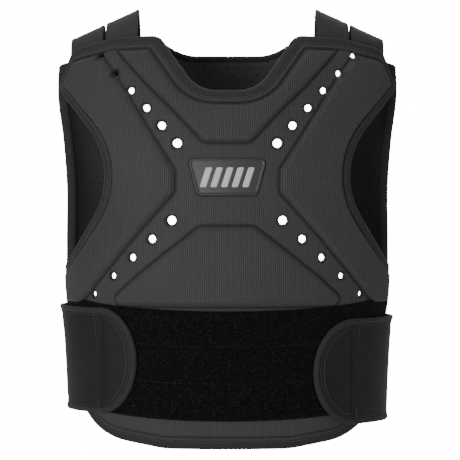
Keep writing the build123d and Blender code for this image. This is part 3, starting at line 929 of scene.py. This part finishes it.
def seam_strip(name, side):
    """The cloth that joins a tab to its wing, sewn in under both, so that the seam stays closed."""
    centre = WING_CENTRE[name]
    across = lambda u, z: SEAM_STRIP - np.abs(u - u_of(side * SEAM_X, z, WING_OUT))
    region = lambda u, z: np.minimum(across(u, z), WING_HEIGHT / 2 - WING_EDGE - np.abs(z - centre))
    middle = float(u_of(side * SEAM_X, centre, WING_OUT))
    half = WING_HEIGHT / 2
    box = (middle - 9, centre - half, middle + 9, centre + half)
    strip = slabbed(f"tab_{name}_seam", region, box, 1.0, on_front, WING_OUT - 0.8, WING_OUT - 1.8)
    bend = (f"wing_{name}", f"tab_{name}", *[(side * x, y, z) for x, y, z in TAB_BEND])
    dress(strip, bend, "wing_stretch")


# ---- small nodes kept from the CAD ------------------------------------------------------------
def carried_over():
    """The patches that hold the straps' tails behind are CAD nodes with a finished material."""
    for name in frame["nodes"]:
        for key, look in (("strap_loop_patch", "loop_pile"), ("hook_pad", "hook_tape")):
            if key in name:
                node = bpy.data.objects[name]
                node.data.materials.clear()
                node.data.materials.append(LOOKS[look])


# ---- studio -----------------------------------------------------------------------------------
def white(name, strength=0.0):
    """A plain white for what stands round the object."""
    material = bpy.data.materials.new(name)
    material.use_nodes = True
    shader = material.node_tree.nodes["Principled BSDF"]
    shader.inputs["Base Color"].default_value = (0.9, 0.9, 0.9, 1)
    shader.inputs["Roughness"].default_value = 0.9
    shader.inputs["Emission Color"].default_value = (1, 1, 1, 1)
    shader.inputs["Emission Strength"].default_value = strength
    return material


def seen(tree, shader, socket, direct, indirect):
    """A backdrop's brightness where it is seen, and the brightness with which it lights the object."""
    path = tree.nodes.new("ShaderNodeLightPath")
    level = tree.nodes.new("ShaderNodeMath")
    level.operation = "MULTIPLY_ADD"
    level.inputs[1].default_value = direct - indirect
    level.inputs[2].default_value = indirect
    tree.links.new(path.outputs["Is Camera Ray"], level.inputs[0])
    tree.links.new(level.outputs[0], tree.nodes[shader].inputs[socket])


def vent_light_discs():
    """Glowing white discs inside the vents: painted light that stands for the daylight showing through them."""
    # Painted light: the discs glow, though no lamp stands behind the vents.
    glow = white("vent_painted_light", 12.0)
    for index, (u, z, radius) in enumerate(VENTS):
        if z > -50 and u < 0:
            continue
        turn = np.linspace(0, 2 * pi, 20, endpoint=False)
        ring = np.stack([u + (radius - 0.2) * np.cos(turn), z + (radius - 0.2) * np.sin(turn)], -1)
        disc = build(f"vent_painted_light_{index}", on_front(ring[:, 0], ring[:, 1], np.full(20, VALLEY - 3.2)),
                     [list(range(20))])
        disc.data.materials.append(glow)
        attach(disc, "front")


def light(name, place, target, size, power):
    """A soft area light that faces a target."""
    lamp = bpy.data.lights.new(name, "AREA")
    lamp.energy = power
    lamp.shape = "RECTANGLE"
    lamp.size, lamp.size_y = size
    made = bpy.data.objects.new(name, lamp)
    made.location = place
    made.rotation_euler = (Vector(target) - Vector(place)).to_track_quat("-Z", "Y").to_euler()
    bpy.context.scene.collection.objects.link(made)


def studio():
    """Floor, lights and a white surround."""
    mesh = bpy.data.meshes.new("floor")
    low, wide = -0.53, 6.0
    corners = [(-wide, -wide, low), (wide, -wide, low), (wide, wide, low), (-wide, wide, low)]
    mesh.from_pydata(corners, [], [(0, 1, 2, 3)])
    floor = bpy.data.objects.new("floor", mesh)
    floor.data.materials.append(white("floor"))
    seen(floor.data.materials[0].node_tree, "Principled BSDF", "Emission Strength", 17.0, 0.0)
    bpy.context.scene.collection.objects.link(floor)
    middle = (0, -0.05, -0.22)
    light("key", (-0.75, -1.65, -0.30), (-0.06, -0.1, -0.24), (0.9, 0.9), 36)
    light("fill", (1.6, -1.8, 0.5), middle, (1.6, 1.6), 7)
    light("top", (-0.2, -0.2, 1.6), middle, (1.4, 1.2), 14)
    light("rear", (0.4, 2.2, 0.6), middle, (2.0, 1.6), 30)
    world = bpy.data.worlds.new("world")
    world.use_nodes = True
    background = world.node_tree.nodes["Background"]
    background.inputs["Color"].default_value = (1, 1, 1, 1)
    seen(world.node_tree, "Background", "Strength", 17.0, 0.45)
    bpy.context.scene.world = world


def camera():
    """The camera, at the height of the upper chest."""
    lens = bpy.data.cameras.new("camera")
    lens.lens = 201.5
    lens.sensor_width = 36
    made = bpy.data.objects.new("camera", lens)
    made.location = (0.003, -2.92, -0.147)
    target = Vector((0.003, -0.115, -0.2175))
    made.rotation_euler = (target - made.location).to_track_quat("-Z", "Y").to_euler()
    bpy.context.scene.collection.objects.link(made)
    bpy.context.scene.camera = made


front_panel()
edge_binding("front_binding", FRONT_RING, 10.0, on_front, "front", "binding_tape", ("front_edge_binding",))
loop_field()
emblem()
back_panel()
edge_binding("back_binding", BACK_RING, 7.0, on_back, "back", "binding_tape", ("back_edge_binding",))
shoulder_straps()
wings()
carried_over()
vent_light_discs()
studio()
camera()
